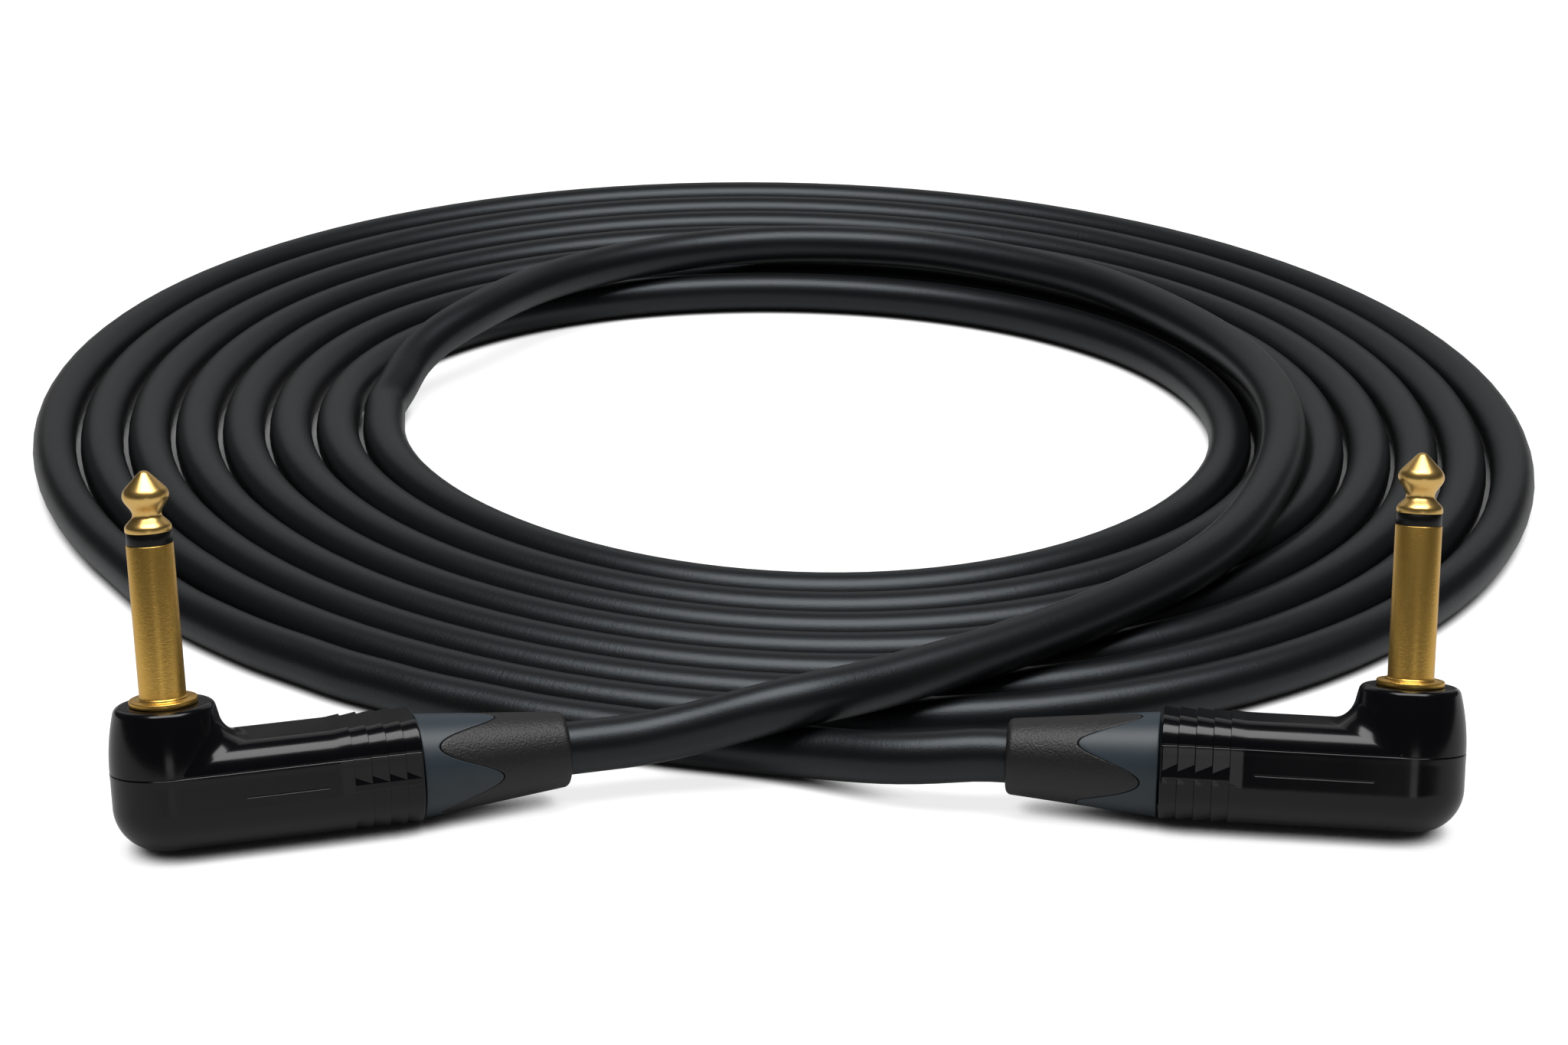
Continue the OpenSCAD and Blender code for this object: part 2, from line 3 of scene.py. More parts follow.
import bmesh
import bpy
import numpy as np
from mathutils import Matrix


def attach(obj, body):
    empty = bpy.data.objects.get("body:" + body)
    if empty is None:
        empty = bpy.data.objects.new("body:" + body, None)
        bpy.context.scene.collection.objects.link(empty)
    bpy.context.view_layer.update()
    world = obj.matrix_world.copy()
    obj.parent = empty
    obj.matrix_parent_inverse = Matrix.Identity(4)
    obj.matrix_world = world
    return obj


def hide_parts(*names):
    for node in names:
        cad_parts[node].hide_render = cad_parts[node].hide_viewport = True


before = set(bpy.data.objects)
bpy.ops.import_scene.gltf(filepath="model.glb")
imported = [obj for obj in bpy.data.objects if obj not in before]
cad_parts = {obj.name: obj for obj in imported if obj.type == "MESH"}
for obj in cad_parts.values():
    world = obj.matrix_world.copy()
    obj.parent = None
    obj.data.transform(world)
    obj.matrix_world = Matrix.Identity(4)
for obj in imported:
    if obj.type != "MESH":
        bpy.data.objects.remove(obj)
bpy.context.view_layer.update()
print("frame loaded", len(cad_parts), "nodes")


# The camera, in metres and degrees

view = {"place": (-0.00105, -0.4302, 0.21), "tilt": 69, "lens": 79.1, "sensor": 36, "near": 0.01}


def addCamera():
    data = bpy.data.cameras.new("camera")
    data.lens = view["lens"]
    data.sensor_width = view["sensor"]
    data.clip_start = view["near"]
    camera = bpy.data.objects.new("camera", data)
    camera.location = view["place"]
    camera.rotation_euler = (math.radians(view["tilt"]), 0, 0)
    bpy.context.scene.collection.objects.link(camera)
    bpy.context.scene.camera = camera


addCamera()

# Where the connectors stand and what the shell measures, in millimetres and degrees

ends = {
    "left": {"foot": (-84.3, -6.3), "turn": 16, "lean": -11, "phase": 13},
    "right": {"foot": (84.3, -1.1), "turn": 172.5, "lean": 16, "phase": 31},
}
shell = {
    "halfW": 8, "crownR": 4, "crownZ": 3.4, "bellyR": 6.2, "bellyZ": -1, "seamZ": 4,
    "turretZ": 12.8, "wallR": 30.92, "wallX": -22.92, "rimX": 5.965, "rimR": 1,
    "blendR": 4, "length": 33.5, "ribX": 24.02, "ribW": 2.37, "ribs": 4, "rise": 0.15,
    "lift": 0.1, "edge": 0.3, "bandZ": -0.05, "bandHalf": 0.4, "bandSlope": 1, "lip": 0.12,
    "lineZ": 0.4, "lineEnd": 20.72, "lines": (16.2, 11.5), "lineHalf": 0.15, "lineDeep": 0.12,
    "lineFade": 0.1,
    "bore": 6.06, "boreX": 12.6, "boreEnd": 41.3, "split": 0.03, "soft": 0.05,
    "easeX": 4, "swell": 0.03, "swellZ": 3, "swellH": 0.7, "holeR": 4.05, "holeDeep": 1,
    "steps": 144, "bowlSteps": 73, "blendTurn": 84, "blendSteps": 141,
}


def footOf(side):
    # the leaning ribs rest on the floor: height = corner radius + across sin lean + down cos lean
    s, lean = shell, math.radians(abs(ends[side]["lean"]))
    corner, across, down = s["bellyR"] + s["rise"], s["halfW"] - s["bellyR"], -s["bellyZ"] - s["lift"]
    return np.array([*ends[side]["foot"], corner + across * math.sin(lean) + down * math.cos(lean)])


def place(side, points):
    # connector millimetres to frame metres: turn about X by the lean, about Z by the turn, move to the foot
    a, b = math.radians(ends[side]["lean"]), math.radians(ends[side]["turn"])
    rx = np.array([[1, 0, 0], [0, math.cos(a), -math.sin(a)], [0, math.sin(a), math.cos(a)]])
    rz = np.array([[math.cos(b), -math.sin(b), 0], [math.sin(b), math.cos(b), 0], [0, 0, 1]])
    return (np.asarray(points, float) @ (rz @ rx).T + footOf(side)) / 1000


def addMesh(name, grids, marks=None):
    # grids: (points rows x columns x 3, rows wrap, columns wrap); marks: a vector per point for the shaders
    points, faces, base = [], [], 0
    for grid, wrapRows, wrapColumns in grids:
        rows, columns = grid.shape[:2]
        ids = base + np.arange(rows * columns).reshape(rows, columns)
        if wrapRows:
            ids = np.vstack([ids, ids[:1]])
        if wrapColumns:
            ids = np.hstack([ids, ids[:, :1]])
        faces.append(np.stack([ids[:-1, :-1], ids[:-1, 1:], ids[1:, 1:], ids[1:, :-1]], -1).reshape(-1, 4))
        points.append(grid.reshape(-1, 3))
        base += rows * columns
    mesh = bpy.data.meshes.new(name)
    mesh.from_pydata(np.concatenate(points).tolist(), [], np.concatenate(faces).tolist())
    if marks is not None:
        mesh.attributes.new("along", "FLOAT_VECTOR", "POINT").data.foreach_set("vector", marks.ravel())
    work = bmesh.new()
    work.from_mesh(mesh)
    bmesh.ops.remove_doubles(work, verts=work.verts, dist=1e-6)
    bmesh.ops.recalc_face_normals(work, faces=work.faces)
    work.to_mesh(mesh)
    work.free()
    mesh.polygons.foreach_set("use_smooth", np.ones(len(mesh.polygons), bool))
    piece = bpy.data.objects.new(name, mesh)
    bpy.context.scene.collection.objects.link(piece)
    return piece


# The cable: one tube from the right plug's inside, round the coil and over it, to the left plug's inside

cable = {
    "radius": 3.75, "strip": 13, "tails": {"left": 62.75, "right": 57}, "tailSteps": 20, "step": 2.6,
    "sides": 24, "turns": 7, "turnSteps": 112,
    "w": 264.8, "deep": 288.8, "x": (-0.83, 0.2), "y": (164.85, -1.7), "skew": (10.15, -0.85),
    "bulgeX": (0.34, 0.42), "bulgeY": (1.2, -0.07), "into": 0.1, "sideStep": 8.37, "endStep": 9.79,
    "lead": [(22.2, 6.9, 7.28), (15, 8.5, 6.3), (8, 11.6, 5.22), (2, 14.7, 4.35),
             (-4, 17, 3.85), (-10, 18.7, 3.75), (-15, 20, 3.75), (-21, 21.8, 3.75),
             (-28, 24, 3.75), (-37, 27.2, 3.75), (-46, 31.5, 3.75), (-53.5, 35.2, 3.75),
             (-60.2, 39.4, 3.75), (-67, 43.7, 3.75), (-73, 48.4, 3.75), (-80, 53.9, 3.75),
             (-86.5, 59.9, 3.75), (-95, 68.9, 3.75)],
    "over": [(-72.6, 172.4, 5.2), (-71.2, 179.4, 6.8), (-67.5, 187.9, 9.2), (-60.5, 197.9, 11.3),
             (-49.5, 215.7, 11.8), (-35, 230.4, 11.8), (-20.4, 239.1, 11.8), (-5, 243.6, 11.8),
             (11, 243.7, 11.8), (26.5, 240.2, 11.8), (42, 231.9, 11.8), (57, 219.9, 11.8),
             (72, 197.8, 11.8), (83, 170.2, 11.8), (86.2, 146.7, 11.8), (83.5, 119.8, 11.8),
             (76, 93.8, 11.8), (67, 74, 11.8), (54.2, 56.8, 11.8), (41, 43.4, 11.8),
             (28.6, 33, 11.8), (19.7, 26.6, 11.8), (9.8, 20.2, 11.8), (0.2, 15.2, 11.8),
             (-4.5, 13.9, 11.1), (-12, 13.1, 9.25), (-19.5, 12.1, 7.85)],
}


def unit(v):
    return v / np.linalg.norm(v, axis=-1, keepdims=True)


def headingOf(side):
    turn = math.radians(ends[side]["turn"])
    return np.array([math.cos(turn), math.sin(turn), 0])


def coilAt(u):
    # an ellipse that shrinks by one strand a turn; skew, bx and by are linear in the turns u:
    # x = x0 + x1 u + w cos a + bx sin 2a, y = y0 + y1 u + d sin a - skew cos a + by sin 2a
    c = cable
    a = np.pi - 2 * np.pi * u
    w, d = c["w"] / 2 - c["sideStep"] * u, c["deep"] / 2 - c["endStep"] * u
    x = c["x"][0] + c["x"][1] * u + w * np.cos(a) + (c["bulgeX"][0] + c["bulgeX"][1] * u) * np.sin(2 * a)
    y = (c["y"][0] + c["y"][1] * u + d * np.sin(a) - (c["skew"][0] + c["skew"][1] * u) * np.cos(a)
         + (c["bulgeY"][0] + c["bulgeY"][1] * u) * np.sin(2 * a))
    return np.stack([x, y, np.full_like(x, c["radius"])], -1)


def splined(points, first, last, step):
    # clamped cubic spline over chord length: the slopes m solve the usual tridiagonal set
    p = np.array(points, float)
    h = np.linalg.norm(np.diff(p, axis=0), axis=1)
    s = np.concatenate([[0], np.cumsum(h)])
    n = len(p)
    matrix, right = np.eye(n), np.zeros((n, 3))
    right[0], right[-1] = first, last
    for i in range(1, n - 1):
        matrix[i, i - 1:i + 2] = h[i], 2 * (h[i - 1] + h[i]), h[i - 1]
        right[i] = 3 * (h[i] * (p[i] - p[i - 1]) / h[i - 1] + h[i - 1] * (p[i + 1] - p[i]) / h[i])
    m = np.linalg.solve(matrix, right)
    t = np.linspace(0, s[-1], max(2, round(s[-1] / step) + 1))
    i = np.clip(np.searchsorted(s, t, side="right") - 1, 0, n - 2)
    f, g = ((t - s[i]) / h[i])[:, None], h[i][:, None]
    return ((2 * f**3 - 3 * f**2 + 1) * p[i] + (f**3 - 2 * f**2 + f) * g * m[i]
            + (3 * f**2 - 2 * f**3) * p[i + 1] + (f**3 - f**2) * g * m[i + 1])


def cablePath():
    c = cable
    coil = coilAt(np.linspace(-c["into"], c["turns"], round((c["turns"] + c["into"]) * c["turnSteps"]) + 1))
    startT, endT, apart = unit(coil[1] - coil[0]), unit(coil[-1] - coil[-2]), 2 * c["radius"]
    tails = {}
    for side in ends:
        along = np.linspace(c["strip"], c["tails"][side], c["tailSteps"])[:, None]
        tails[side] = footOf(side) + along * headingOf(side)
    lead = splined([tails["right"][-1], *c["lead"], coil[0] - apart * startT],
                   headingOf("right"), startT, c["step"])
    over = splined([coil[-1] + apart * endT, *c["over"], tails["left"][-1]],
                   endT, -headingOf("left"), c["step"])
    parts = [tails["right"], lead[1:], coil, over, tails["left"][::-1][1:]]
    return np.concatenate(parts) / 1000


def addCable():
    path, r, sides = cablePath(), cable["radius"] / 1000, cable["sides"]
    t = unit(np.gradient(path, axis=0))
    across = unit(np.cross((0, 0, 1), t))
    up = np.cross(t, across)
    a = np.linspace(0, 2 * np.pi, sides, endpoint=False)
    # ring point = centre + r (cos a across + sin a up)
    cosA, sinA = np.cos(a)[None, :, None], np.sin(a)[None, :, None]
    rings = path[:, None] + r * (cosA * across[:, None] + sinA * up[:, None])
    first, last = np.repeat(path[:1, None], sides, 1), np.repeat(path[-1:, None], sides, 1)
    run = np.concatenate([[0], np.cumsum(np.linalg.norm(np.diff(path, axis=0), axis=1))])
    # the mark is (length along the cable, r cos a, r sin a), so a texture can be wound round the jacket
    s, b = np.meshgrid(np.concatenate([run[:1], run, run[-1:]]), a, indexing="ij")
    marks = np.stack([s, r * np.cos(b), r * np.sin(b)], -1)
    piece = addMesh("cable", [(np.concatenate([first, rings, last]), False, True)], marks)
    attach(piece, "cable_assembly")
    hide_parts("lead_strand", "cable_coil", "crossing_strand", "left_jacket_end", "right_jacket_end")
    return piece, path, run[-1]


cablePiece, cableLine, cableLong = addCable()
print("cable", round(cableLong, 4), "m", len(cablePiece.data.polygons), "faces")


# The shells

def outline(x):
    # growth and lift of the body's section along x: flush, a flare up to the first rib, then four saw teeth
    s = shell
    start, w, rise, b = s["ribX"] - s["ribW"], s["ribW"], s["rise"], s["soft"]
    xs, grow = [0, start + 0.25 * w, s["ribX"] - b, s["ribX"] - 0.3 * b], [0, 0, rise - 0.004, rise]
    for i in range(s["ribs"]):
        xs += [s["ribX"] + i * w + 0.2 * b, s["ribX"] + i * w + 0.9 * b, s["ribX"] + (i + 1) * w - b]
        grow += [0.3 * rise, -rise, rise]
    xs[-1] -= s["edge"]
    turn = np.radians(np.arange(10, 91, 10))
    xs = np.concatenate([xs, s["length"] - s["edge"] + s["edge"] * np.sin(turn)])
    grow = np.concatenate([grow, rise - s["edge"] * (1 - np.cos(turn))])
    lift = s["lift"] * np.clip((x - start) / w, 0, 1)
    return np.interp(x, xs, grow), lift


def rowsAlong():
    # x of the section rows: coarse along the body, fine at the line's ends and round each rib's step
    s = shell
    xs = [*np.arange(0, 21.6, 0.6), *np.arange(21.7, s["ribX"] - 0.1, 0.15)]
    for x in (s["lineEnd"], *[s["lineEnd"] - long for long in s["lines"]]):
        xs += [*np.arange(x - 0.15, x + 0.16, 0.05)]
    for i in range(s["ribs"] + 1):
        x = s["ribX"] + i * s["ribW"]
        if i < s["ribs"]:
            xs += [x - 0.08, x - 0.05, x - 0.03, x - 0.015, x, x + 0.01, x + 0.03, x + 0.045, x + 0.07]
            xs += [*np.arange(x + 0.12, x + s["ribW"] - 0.1, 0.1)]
    xs = [x for x in xs if x < s["length"] - s["edge"]]
    xs += [*(s["length"] - s["edge"] + s["edge"] * np.sin(np.radians(np.arange(0, 91, 10))))]
    return np.array(sorted(set(np.round(xs, 4))))


def bandAndLine(x, z, long):
    # a flat strip between slopes that fills the rib steps, and a groove of parabolic depth before it
    s = shell
    off = np.abs(z - s["bandZ"])
    band = s["rise"] - 2 * s["rise"] * np.clip((off - s["bandHalf"]) / s["bandSlope"], 0, 1)
    grow = outline(x)[0]
    band = np.where((x > s["ribX"]) & (x < s["length"] - s["edge"]), band, -9)
    depth = s["lineDeep"] * np.clip(1 - ((z - s["lineZ"]) / s["lineHalf"]) ** 2, 0, 1)
    toStart, toEnd = (x - s["lineEnd"] + long) / s["lineFade"], (s["lineEnd"] - x) / s["lineFade"]
    return np.maximum(grow, band) - depth * np.clip(toStart, 0, 1) * np.clip(toEnd, 0, 1)


def lowerColumns():
    # from the belly's middle to the seam: flat, corner arc, upright side, lip
    flat = [("flat", f) for f in np.linspace(0, 0.97, 5)]
    arc = [("arc", a) for a in np.linspace(-90, 0, 31)]
    zs = np.concatenate([np.arange(-0.95, 1.6, 0.05), np.arange(1.7, 3.7, 0.2),
                         [3.78, 3.83, 3.87, 3.9, 3.94]])
    side = [("side", z) for z in zs]
    return flat + arc + side + [("lip", f) for f in (0.12, 0.16, 0.3, 1, 9)]


def lowerSection(x, columns, bowl, long):
    s = shell
    grow, lift = (float(v) for v in outline(x))
    d, z = [], []
    for kind, v in columns:
        if kind == "flat":
            d.append((s["halfW"] - s["bellyR"]) * v)
            z.append(s["bellyZ"] - s["bellyR"] - grow + lift)
        elif kind == "arc":
            a = math.radians(v)
            r = s["bellyR"] + grow
            h = s["bellyZ"] + lift + r * math.sin(a)
            more = float(bandAndLine(x, h, long)) - grow if v > -30 else 0
            d.append(s["halfW"] - s["bellyR"] + (r + more) * math.cos(a))
            z.append(h)
        else:
            h = v if kind == "side" else s["seamZ"] - s["split"]
            g = float(bandAndLine(x, h, long))
            over = max(0, h - s["crownZ"] - lift)
            r = s["crownR"] + g
            body = s["halfW"] - s["crownR"] + math.sqrt(r * r - over * over)
            # upright under the turret, and eased into the body's arc; the lip stands out by the swell
            mix = 0 if bowl else min(1, x / s["easeX"])
            swell = s["swell"] * min(1, max(0, h - s["swellZ"]) / s["swellH"])
            side = (s["halfW"] + g) * (1 - mix) + body * mix + swell
            bevel = max(0, h - s["seamZ"] + s["lip"] + s["split"])
            inner = 0 if bowl or x < s["boreX"] else math.sqrt(s["bore"] ** 2 - h * h)
            d.append(side - bevel if kind == "side" else side - v if v < 9 else inner)
            z.append(h)
    return np.array(d), np.array(z)


def boreRows(endRow, y, z):
    # from the body's last section over its end face into the bore, and to the bore's bottom
    s = shell
    ring, mouth = np.stack([np.zeros(len(y)), y, z], -1), s["bore"] + 0.1
    end, inside, bottom = ([x, 0, 0] for x in (s["length"], s["length"] - 0.1, s["boreX"]))
    return np.array([0.5 * endRow + 0.5 * (ring * mouth + end), ring * mouth + end, ring * s["bore"] + inside,
                     ring * s["bore"] + bottom, ring * 0 + bottom])


def lowerShell(side):
    s = shell
    columns = lowerColumns()
    flanks = []
    for long in s["lines"]:
        rows = []
        for x in rowsAlong():
            d, z = lowerSection(x, columns, False, long)
            rows.append(np.stack([np.full_like(d, x), d, z], -1))
        flanks.append(np.array(rows))
    d, z = lowerSection(0, columns, True, 0)
    turns = np.radians(np.linspace(90, 270, s["bowlSteps"]))[1:-1]
    bowl = np.stack([d * np.cos(turns)[:, None], d * np.sin(turns)[:, None],
                     np.broadcast_to(z, (len(turns), len(z)))], -1)
    angle = np.radians(np.interp(np.arange(len(columns)), [0, len(columns) - 4], [-90, s["boreEnd"]]))
    rows = boreRows(flanks[0][-1], np.cos(angle), np.sin(angle))
    far, near = (np.concatenate([flank, rows]) for flank in flanks)
    return place(side, np.concatenate([far[::-1], bowl, near * [1, -1, 1]]))


def upperColumns():
    # across the body's top: lip, side arc, flat crown, side arc, lip
    lip = [("lip", 9), ("lip", 1), ("lip", 0.2), ("lip", 0.08), ("lip", 0.03)]
    arc = [("arc", f) for f in np.concatenate([[0.012, 0.03], np.linspace(0.05, 1, 33)])]
    flat = [("flat", f) for f in (0.98, 0.6, 0.2)]
    return lip + arc + flat


def upperSection(x, columns):
    s = shell
    grow, lift = (float(v) for v in outline(x))
    r, top = s["crownR"] + grow, s["crownZ"] + lift
    seam = s["seamZ"] + s["split"]
    low = math.asin((seam - top) / r)
    y, z = [], []
    for kind, v in columns:
        if kind == "flat":
            y.append((s["halfW"] - s["crownR"]) * v)
            z.append(top + r)
        elif kind == "arc":
            a = low + (math.pi / 2 - low) * v
            y.append(s["halfW"] - s["crownR"] + r * math.cos(a))
            z.append(top + r * math.sin(a))
        else:
            edge = s["halfW"] - s["crownR"] + r * math.cos(low)
            inner = 0 if x < s["boreX"] else math.sqrt(s["bore"] ** 2 - seam**2)
            y.append(edge - v if v < 9 else inner)
            z.append(seam)
    return np.array(y), np.array(z)


def upperBody(side):
    s, columns, rows = shell, upperColumns(), []
    for x in rowsAlong():
        y, z = upperSection(x, columns)
        half = np.stack([np.full_like(y, x), y, z], -1)
        rows.append(np.concatenate([half * [1, -1, 1], half[::-1]]))
    n = len(rows[-1])
    angle = np.radians(np.interp(np.arange(n), [3, n - 4], [180 - s["boreEnd"], s["boreEnd"]]))
    return place(side, np.concatenate([rows, boreRows(rows[-1], np.cos(angle), np.sin(angle))]))


def turretProfile():
    # (radius, height): wall arc from the seam, rim arc, top, down into the sleeve's hole
    s = shell
    seam = s["seamZ"] + s["split"]
    tilt = math.atan2(s["turretZ"] - s["rimR"] - s["seamZ"], s["rimX"] - s["wallX"])
    wall = np.concatenate([[0.0015, 0.003, 0.006, 0.012], np.linspace(0.02, tilt, 28)])
    rim = np.linspace(tilt, math.pi / 2, 14)[1:]
    r = np.concatenate([[0, s["halfW"] - 0.2, s["halfW"] - 0.08, s["halfW"] - 0.03],
                        s["wallX"] + s["wallR"] * np.cos(wall), s["rimX"] + s["rimR"] * np.cos(rim),
                        [s["holeR"] + 0.85, s["holeR"], s["holeR"], 0]])
    z = np.concatenate([[seam, seam, seam, seam + 0.01],
                        s["seamZ"] + s["wallR"] * np.sin(wall),
                        s["turretZ"] - s["rimR"] + s["rimR"] * np.sin(rim),
                        s["turretZ"] - s["holeDeep"] * np.array([0, 0, 1, 1])])
    return r, np.maximum(z, seam)


def revolved(r, z, steps):
    # point = (r cos t, r sin t, z)
    t = np.linspace(0, 2 * np.pi, steps, endpoint=False)[:, None]
    return np.stack([r * np.cos(t), r * np.sin(t), np.broadcast_to(z, (steps, len(z)))], -1)


def blendStrip(side):
    # a ball of radius b rolls along the corner of turret and body
    # each row is the arc between its two contacts, and its last point is rooted in the body
    s, b, rows = shell, shell["blendR"], []
    for turn in np.radians(np.linspace(-s["blendTurn"], s["blendTurn"], s["blendSteps"])):
        sine = abs(math.sin(turn))
        z = s["crownZ"] + s["crownR"] + b
        # halving steps bring the ball to the height where it touches both
        for _ in range(60):
            r = s["wallX"] + math.sqrt((s["wallR"] + b) ** 2 - (z - s["seamZ"]) ** 2)
            y = r * sine - s["halfW"] + s["crownR"]
            reach = s["crownR"] + b
            over = s["crownZ"] + (reach if y <= 0 else math.sqrt(max(0, reach**2 - y * y)))
            z = (z + over) / 2
        ball = np.array([r * math.cos(turn), r * math.sin(turn), z])
        out = r - s["wallX"]
        toWall = unit(-np.array([math.cos(turn) * out, math.sin(turn) * out, z - s["seamZ"]]))
        toBody = -np.array([0, math.copysign(y, turn), z - s["crownZ"]]) if y > 0 else np.array([0, 0, -1.0])
        toBody = unit(toBody)
        opening = math.acos(float(toWall @ toBody))
        f = np.linspace(0, 1, 41)[:, None]
        arc = (np.sin(opening * (1 - f)) * toBody + np.sin(opening * f) * toWall) / math.sin(opening)
        row = ball + (b + 0.004) * arc
        root = ball + 1.3 * b * unit(toWall + toBody)
        row = np.concatenate([row, root[None]])
        row[:, 2] = np.maximum(row[:, 2], s["seamZ"] + 0.04)
        rows.append(row)
    first, last = (np.repeat(row.mean(0)[None], len(row), 0) for row in (rows[0], rows[-1]))
    return place(side, np.array([first, *rows, last]))


def addShells(side, finish):
    lower = addMesh(side + "LowerShell", [(lowerShell(side), False, False)])
    turret = place(side, revolved(*turretProfile(), shell["steps"]))
    upper = addMesh(side + "UpperShell", [(upperBody(side), False, False), (turret, True, False),
                                          (blendStrip(side), False, True)])
    for piece, node in ((lower, "_lower_shell"), (upper, "_upper_shell")):
        piece.data.materials.append(finish)
        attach(piece, "cable_assembly")
        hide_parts(side + node)
    return [lower, upper]


# Collar and boot, turned about the cable's axis

gland = {
    "x": 33.75, "long": 21, "collarR": 7.3, "mouthR": 5.3, "valley": 2.4, "finger": 11, "fingers": 4,
    "thick": 0.9, "groove": 0.13, "round": 0.9, "hole": 4.0, "steps": 288,
    "spigotR": 6, "spigot": 8.5, "pitch": 1.25, "thread": 0.35, "boreR": 4.66,
}


def coneR(x):
    return gland["collarR"] - (gland["collarR"] - gland["mouthR"]) * (x - gland["x"]) / gland["long"]


def fingerEdge(a):
    g = gland
    return g["x"] + g["valley"] + (g["finger"] - g["valley"]) * (1 + np.cos(g["fingers"] * a)) / 2


def turned(side, xs, rs, a):
    # point = (x, r cos(a + phase), r sin(a + phase))
    turn = a + math.radians(ends[side]["phase"])
    return place(side, np.stack([xs, rs * np.cos(turn)[:, None], rs * np.sin(turn)[:, None]], -1))


def collarGrid(side):
    g = gland
    a = np.linspace(0, 2 * np.pi, g["steps"], endpoint=False)
    edge = fingerEdge(a)[:, None]
    ones = np.ones_like(edge)
    x, start = g["x"], g["x"] + 0.25
    body = start + (edge - 0.14 - start) * np.linspace(0, 1, 14)
    # the spigot's thread: r = R - depth (1 + cos(2 pi x / pitch - a)) / 2
    back, seat = x - g["spigot"], x + g["valley"] - 0.05
    long = np.arange(back + 0.3, x - 0.7, 0.125) * ones
    cut = g["thread"] * (1 + np.cos(2 * np.pi * long / g["pitch"] - a[:, None])) / 2
    # from the bore's bottom out of the mouth, along the thread, over the outside to the seat of the boot
    parts = [(seat * ones, g["boreR"]), (back * ones, g["boreR"]), (back * ones, g["spigotR"] - 0.5),
             (long, g["spigotR"] - cut), ((x - 0.6) * ones, g["spigotR"] - g["thread"]),
             (x * ones, g["spigotR"] - g["thread"])]
    for at, down in ((x * ones, 0.22), ((x + 0.04) * ones, 0.08), ((x + 0.12) * ones, 0.02), (body, 0),
                     (edge - 0.08, 0.01), (edge - 0.03, 0.04), (edge, 0.1), (edge, g["thick"]),
                     (seat * ones, g["thick"])):
        parts.append((at, coneR(at) - down))
    xs = np.concatenate([at for at, _ in parts], 1)
    rs = np.concatenate([np.broadcast_to(r, at.shape) for at, r in parts], 1)
    return turned(side, xs, rs, a)


def bootGrid(side):
    g = gland
    a = np.linspace(0, 2 * np.pi, g["steps"], endpoint=False)
    edge = fingerEdge(a)[:, None] + g["groove"]
    last = g["x"] + g["long"]
    bend = last - g["round"]
    body = edge + 0.16 + (bend - edge - 0.16) * np.linspace(0, 1, 24)
    turn = np.radians(np.arange(10, 91, 10))
    ones = np.ones_like(edge)
    xs = np.concatenate([edge, edge, edge + 0.03, edge + 0.08, body,
                         (bend + g["round"] * np.sin(turn)) * ones,
                         last * ones, last * ones, (last - 0.12) * ones, (last - 4) * ones], 1)
    rs = coneR(xs) - 0.04
    rs[:, 0] -= g["thick"] + 0.1
    rs[:, 1] -= 0.16
    rs[:, 2] -= 0.06
    rs[:, 3] -= 0.02
    base = coneR(bend) - 0.04
    rs[:, -13:-4] = base - g["round"] * (1 - np.cos(turn))
    rs[:, -4] = g["hole"] + 0.3
    rs[:, -3] = g["hole"] + 0.1
    rs[:, -2:] = g["hole"]
    return turned(side, xs, rs, a)


def addGland(side, finishes):
    made = []
    for name, grid, body in (("collar", collarGrid(side), "_gland"), ("boot", bootGrid(side), "_gland")):
        piece = addMesh(side + name.capitalize(), [(grid, True, True)])
        piece.data.materials.append(finishes[name])
        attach(piece, side + body)
        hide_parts(side + "_" + name)
        made.append(piece)
    return made


# The plug: rings about its axis

plug = {
    "base": 12.8, "flangeR": 4.65, "flangeT": 0.8, "r": 3.175, "sleeve": 34.9, "ring": 1.7, "ringR": 3.09,
    "nose": 44.8, "foot": 0.5, "neckR": 1.95, "neckH": 2.3, "headR": 3.135, "headH": 4.8,
    "shoulderR": 1.6, "noseR": 1.1, "footRing": 0.3, "steps": 128,
}


def sleeveProfile():
    # flange with a bevel on both rims, foot ring, then the sleeve up to its bevel
    p = plug
    base, flange, ring, end = p["base"], p["flangeR"], p["r"] + p["footRing"], p["sleeve"]
    top = base + p["flangeT"]
    r = [0, 4, flange - 0.12, flange - 0.04, flange, flange, flange - 0.04, flange - 0.13,
         ring + 0.06, ring, ring, ring - 0.06, p["r"] + 0.03, p["r"],
         p["r"], p["r"], p["r"] - 0.03, p["r"] - 0.1, 0]
    z = [base - 0.5, base, base, base + 0.04, base + 0.12, top - 0.13, top - 0.04, top,
         top, top + 0.06, top + 0.24, top + 0.3, top + 0.31, top + 0.4,
         top + 0.6, end - 0.1, end - 0.03, end, end]
    return np.array(r), np.array(z)


def ringProfile():
    p = plug
    z0, z1 = p["sleeve"], p["sleeve"] + p["ring"]
    return (np.array([0, p["ringR"] - 0.05, p["ringR"], p["ringR"], p["ringR"] - 0.05, 0]),
            np.array([z0, z0, z0 + 0.04, z1 - 0.04, z1, z1]))


